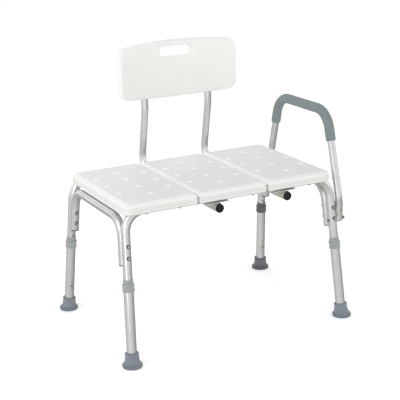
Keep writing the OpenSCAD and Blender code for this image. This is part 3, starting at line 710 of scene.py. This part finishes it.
def foot(q):
    p, up, _ = leg_frame(*LEGS[q])
    rings = []
    for h, r, t in FOOT_PROFILE:
        n = UP.lerp(up, t).normalized()
        x = (ALONG - n * ALONG.dot(n)).normalized()
        rings.append(circle(p + up * (h / up.z) * t + Vector((0, 0, h)) * (1 - t), x, n.cross(x), r, 56))
    v, f = rings_to_mesh(rings)
    # the moulding is painted paler on the boot than on the flange under it: painted light on the boot
    high = [int(sum(v[k].z for k in g) / len(g) > FLANGE_TOP) for g in f]
    # the rear-right foot gets the darker copies: painted shade
    mats = (M_FOOT_SHADED, M_BOOT_LIT_SHADED) if q == "rr" else (M_FOOT, M_BOOT_LIT)
    obj_from("foot_boot_" + q, (v, f), mats, "leg_" + q, ("foot_" + q,), 50, high)


# height up the leg, radius: two bands, a groove between them, and a neck
COLLAR_PROFILE = [(0, 14.5), (0, 16.0), (0.4, 16.7), (1.2, 17.1), (2.4, 17.3), (4.2, 17.3), (5.4, 17.05),
                  (6.2, 16.75), (8, 16.6), (14, 16.6), (15.8, 16.75), (16.6, 17.05), (17.8, 17.3),
                  (20.2, 17.3), (21.6, 17.05), (22.5, 16.5), (23.2, 15.6), (23.8, 14.8), (24.6, 14.45),
                  (26, 14.3), (32.6, 14.3), (33.5, 14.1), (34, 13.7), (34, 12.95), (28, 12.95)]
SCREW_S, SCREW_R = 29.3, 14.2       # a small set screw in the neck: up from the collar's start, and out
SCREW_PROFILE = [(-1.2, 2.5), (0.15, 2.5), (0.4, 2.2), (0.45, 1.3), (-0.4, 1.1)]


def collar(q):
    p, up, inward = leg_frame(*LEGS[q])
    ring = lathe(COLLAR_PROFILE, p + up * COLLAR_S, up, 56, cap=False)
    screw = lathe(SCREW_PROFILE, p + up * (COLLAR_S + SCREW_S) - inward * SCREW_R, -inward, 20)
    # the rear-right collar gets the darker copy: painted shade
    grey = M_COLLAR_SHADED if q == "rr" else M_COLLAR
    obj_from("leg_ring_" + q, joined([ring, screw]), (grey,), "leg_" + q, ("leg_collar_" + q,), 40)


for q in LEGS:
    foot(q)
    collar(q)


# ---------------------------------------------------------------- CAD nodes that stay
def soften(name, width, mat, angle=35):
    """Weld a CAD node, round its edges by width in mm, and paint it."""
    o = nodes[name]
    w = o.modifiers.new("weld", "WELD")
    w.merge_threshold = 2e-6
    b = o.modifiers.new("edge", "BEVEL")
    b.width, b.segments, b.limit_method, b.angle_limit = width * MM, 2, "ANGLE", math.radians(angle)
    b.harden_normals = True
    paint(name, mat)


def paint(name, mat):
    o = nodes[name]
    if not o.data.materials:
        o.data.materials.append(mat)
    for s in o.material_slots:
        s.material = mat


for n in nodes:
    if n == "armrest_tube":
        paint(n, M_ARM)
    elif n.startswith(("leg_tube", "backrest_tube", "arm_socket")) or n.endswith(("_rail", "side_frame")):
        paint(n, M_ALU)
    elif n in ("receiver_left", "receiver_right"):
        paint(n, M_RECEIVER_SHADE_TINT)
    elif n.endswith("clips"):
        paint(n, M_SPRING)
for n in ("side_frame_plugs", "receiver_plugs"):
    soften(n, 0.7, M_BLACK)
soften("receiver_plates", 0.5, M_BRACKET)
soften("arm_saddles", 0.5, M_ALU)
soften("frame_bolts", 0.3, M_BOLT_RIM_SHADE)
for n in ("frame_nuts", "arm_bolts", "arm_nuts", "backrest_screws"):
    soften(n, 0.3, M_STEEL)
soften("seat_screws", 0.3, M_ZINC)
for n in nodes:
    if "button" in n or n == "stop_rivets":
        soften(n, 0.35, M_BRASS)


# ---------------------------------------------------------------- floor, world and lights
def stage():
    me = bpy.data.meshes.new("floor")
    s = 30.0
    me.from_pydata([(x, y, -0.0004) for x, y in ((-s, -s), (s, -s), (s, s), (-s, s))], [], [(0, 1, 2, 3)])
    m = Mat("floor", (0.93, 0.93, 0.93), 0.8, Specular_IOR_Level=0.0, Emission_Strength=0.32,
            Emission_Color=(1, 1, 1, 1))
    m.color(m.blend(m.span(m.noise(3, 2, 0.5), 0.3, 0.7, 0, 1), (0.93, 0.93, 0.93), (0.925, 0.925, 0.92)))
    me.materials.append(m.m)
    o = bpy.data.objects.new("floor", me)
    o.visible_glossy = False
    scene.collection.objects.link(o)

    w = bpy.data.worlds.new("studio")
    w.use_nodes = True
    t = w.node_tree
    bg = t.nodes["Background"]
    co = t.nodes.new("ShaderNodeTexCoord")
    sep = t.nodes.new("ShaderNodeSeparateXYZ")
    ramp = t.nodes.new("ShaderNodeValToRGB")
    t.links.new(co.outputs["Generated"], sep.inputs[0])
    t.links.new(sep.outputs["Z"], ramp.inputs[0])
    r = ramp.color_ramp
    r.elements[0].position, r.elements[0].color = 0.16, (1.24, 1.24, 1.24, 1)
    r.elements[1].position, r.elements[1].color = 0.9, (0.84, 0.84, 0.85, 1)
    r.elements.new(0.34).color = (0.96, 0.96, 0.96, 1)
    # below the horizon, where only the tubes' reflections look, the left is bright and the right dark
    side = t.nodes.new("ShaderNodeVectorMath")
    side.operation = "DOT_PRODUCT"
    side.inputs[1].default_value = (-0.887, -0.461, 0)
    t.links.new(co.outputs["Generated"], side.inputs[0])
    low = t.nodes.new("ShaderNodeMapRange")
    for k, v in (("From Min", -0.8), ("From Max", 0.8), ("To Min", 0.40), ("To Max", 0.90)):
        low.inputs[k].default_value = v
    t.links.new(side.outputs["Value"], low.inputs["Value"])
    cut = t.nodes.new("ShaderNodeMapRange")
    for k, v in (("From Min", -0.16), ("From Max", -0.01), ("To Min", 0.0), ("To Max", 1.0)):
        cut.inputs[k].default_value = v
    t.links.new(sep.outputs["Z"], cut.inputs["Value"])
    mix = t.nodes.new("ShaderNodeMix")
    mix.data_type = "RGBA"
    t.links.new(cut.outputs["Result"], mix.inputs[0])
    t.links.new(low.outputs["Result"], mix.inputs[6])
    t.links.new(ramp.outputs[0], mix.inputs[7])
    t.links.new(mix.outputs[2], bg.inputs[0])
    bg.inputs[1].default_value = 0.82
    scene.world = w

    def area(name, loc, target, size, power, gloss_only=False):
        d = bpy.data.lights.new(name, "AREA")
        d.shape = "RECTANGLE"
        d.size, d.size_y = size
        d.energy = power
        o = bpy.data.objects.new(name, d)
        o.location = loc
        o.rotation_mode = "QUATERNION"
        o.rotation_quaternion = (Vector(target) - Vector(loc)).to_track_quat("-Z", "Y")
        o.visible_camera = False
        o.visible_diffuse = not gloss_only
        scene.collection.objects.link(o)

    area("strip_left", (-1.25, -0.95, 0.4), (0, 0, 0.35), (0.3, 0.8), 1.2, True)
    area("key", (-2.9, -0.7, 2.5), (0, 0, 0.45), (1.6, 1.6), 22)
    area("fill", (2.6, -1.6, 1.8), (0, 0, 0.4), (1.4, 1.8), 7)
    area("back", (0.6, 2.8, 2.4), (0, 0, 0.4), (2.2, 1.2), 10)
    scene.view_settings.view_transform = "Standard"
    scene.view_settings.look = "None"


stage()
